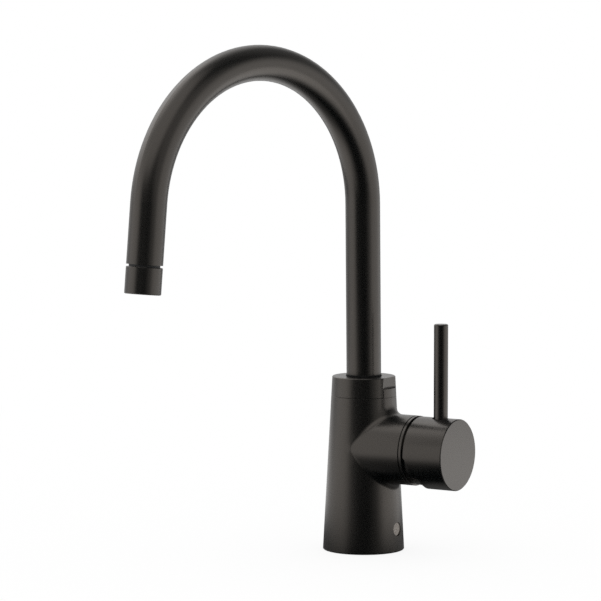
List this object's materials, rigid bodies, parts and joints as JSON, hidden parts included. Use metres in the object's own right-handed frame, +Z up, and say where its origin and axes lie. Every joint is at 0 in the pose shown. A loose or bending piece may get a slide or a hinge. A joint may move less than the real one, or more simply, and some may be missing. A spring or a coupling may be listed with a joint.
{
  "type": "pull-out kitchen faucet",
  "caption": "Satin black kitchen faucet: tapered body, high arched swivel spout with a short pull-out end, and an upright pin lever on a side drum.",
  "frame": {"origin": "on the body's axis, at the worktop", "axes": "+Z up; +X out along the handle's axis; -Y is the front, towards the user"},
  "size_m": [0.1253, 0.2229, 0.3267],
  "materials": {
    "satin_black": "satin baked paint, warm black",
    "brass": "turned",
    "steel": "turned",
    "ceramic": "lapped",
    "white_plastic": "moulded",
    "red_plastic": "moulded",
    "blue_plastic": "moulded",
    "dark_plastic": "moulded",
    "grey_plastic": "moulded",
    "rubber": "moulded",
    "hose_sheath": "braided"
  },
  "bodies": {
    "base": {"body": "satin_black", "base_gasket": "rubber", "lock_screw": "steel", "screw_plug": "satin_black", "lower_glide": "white_plastic", "retaining_ring": "brass", "stop_ring": "satin_black", "collar": "satin_black", "upper_glide": "white_plastic", "cartridge_base": "white_plastic", "port_seals": "rubber", "fixed_disc": "ceramic", "cartridge_housing": "white_plastic", "retaining_nut": "brass", "limit_ring": "red_plastic", "cover_gasket": "rubber", "dome_cover": "satin_black"},
    "mixer": {"rotor": "white_plastic", "pivot_pin": "steel"},
    "valve_disc": {"moving_disc": "ceramic", "disc_carrier": "blue_plastic"},
    "handle": {"stem": "steel", "handle_hub": "satin_black", "lever": "satin_black", "stem_screw": "steel", "screw_cap": "satin_black"},
    "spout": {"spout_foot": "brass", "swivel_seal": "rubber", "spout_tube": "satin_black", "dock_bush": "dark_plastic", "spray_hose": "hose_sheath", "hose_ferrule": "brass"},
    "nozzle": {"nozzle_shell": "satin_black", "nozzle_guide": "dark_plastic", "check_valve": "blue_plastic", "hose_connector": "brass", "nozzle_seal": "rubber", "aerator_housing": "dark_plastic", "flow_mesh": "steel", "flow_insert": "grey_plastic"}
  },
  "joints": [
    {"name": "spout_swivel", "type": "hinge", "parent": "base", "child": "spout", "pos_m": [0, 0, 0.0875], "axis": [0, 0, 1], "range_deg": [-46.65, 73.35]},
    {"name": "mix_turn", "type": "hinge", "parent": "base", "child": "mixer", "pos_m": [0.032, 0, 0.0662], "axis": [1, 0, 0], "range_deg": [-45, 45]},
    {"name": "flow_tilt", "type": "hinge", "parent": "mixer", "child": "handle", "pos_m": [0.046, 0, 0.0662], "axis": [0, 1, 0], "range_deg": [0, 24]},
    {"name": "disc_slide", "type": "slide", "parent": "mixer", "child": "valve_disc", "axis": [0, 0, 1], "range_m": [0, 0.00493]},
    {"name": "nozzle_pull", "type": "slide", "parent": "spout", "child": "nozzle", "axis": [-0.0219, -0.0921, -0.9955], "range_m": [0, 0.15], "deforming": ["spray_hose"]}
  ],
  "couplings": [
    {"joint": "disc_slide", "follows": "flow_tilt", "m_per_rad": 0.011749}
  ]
}
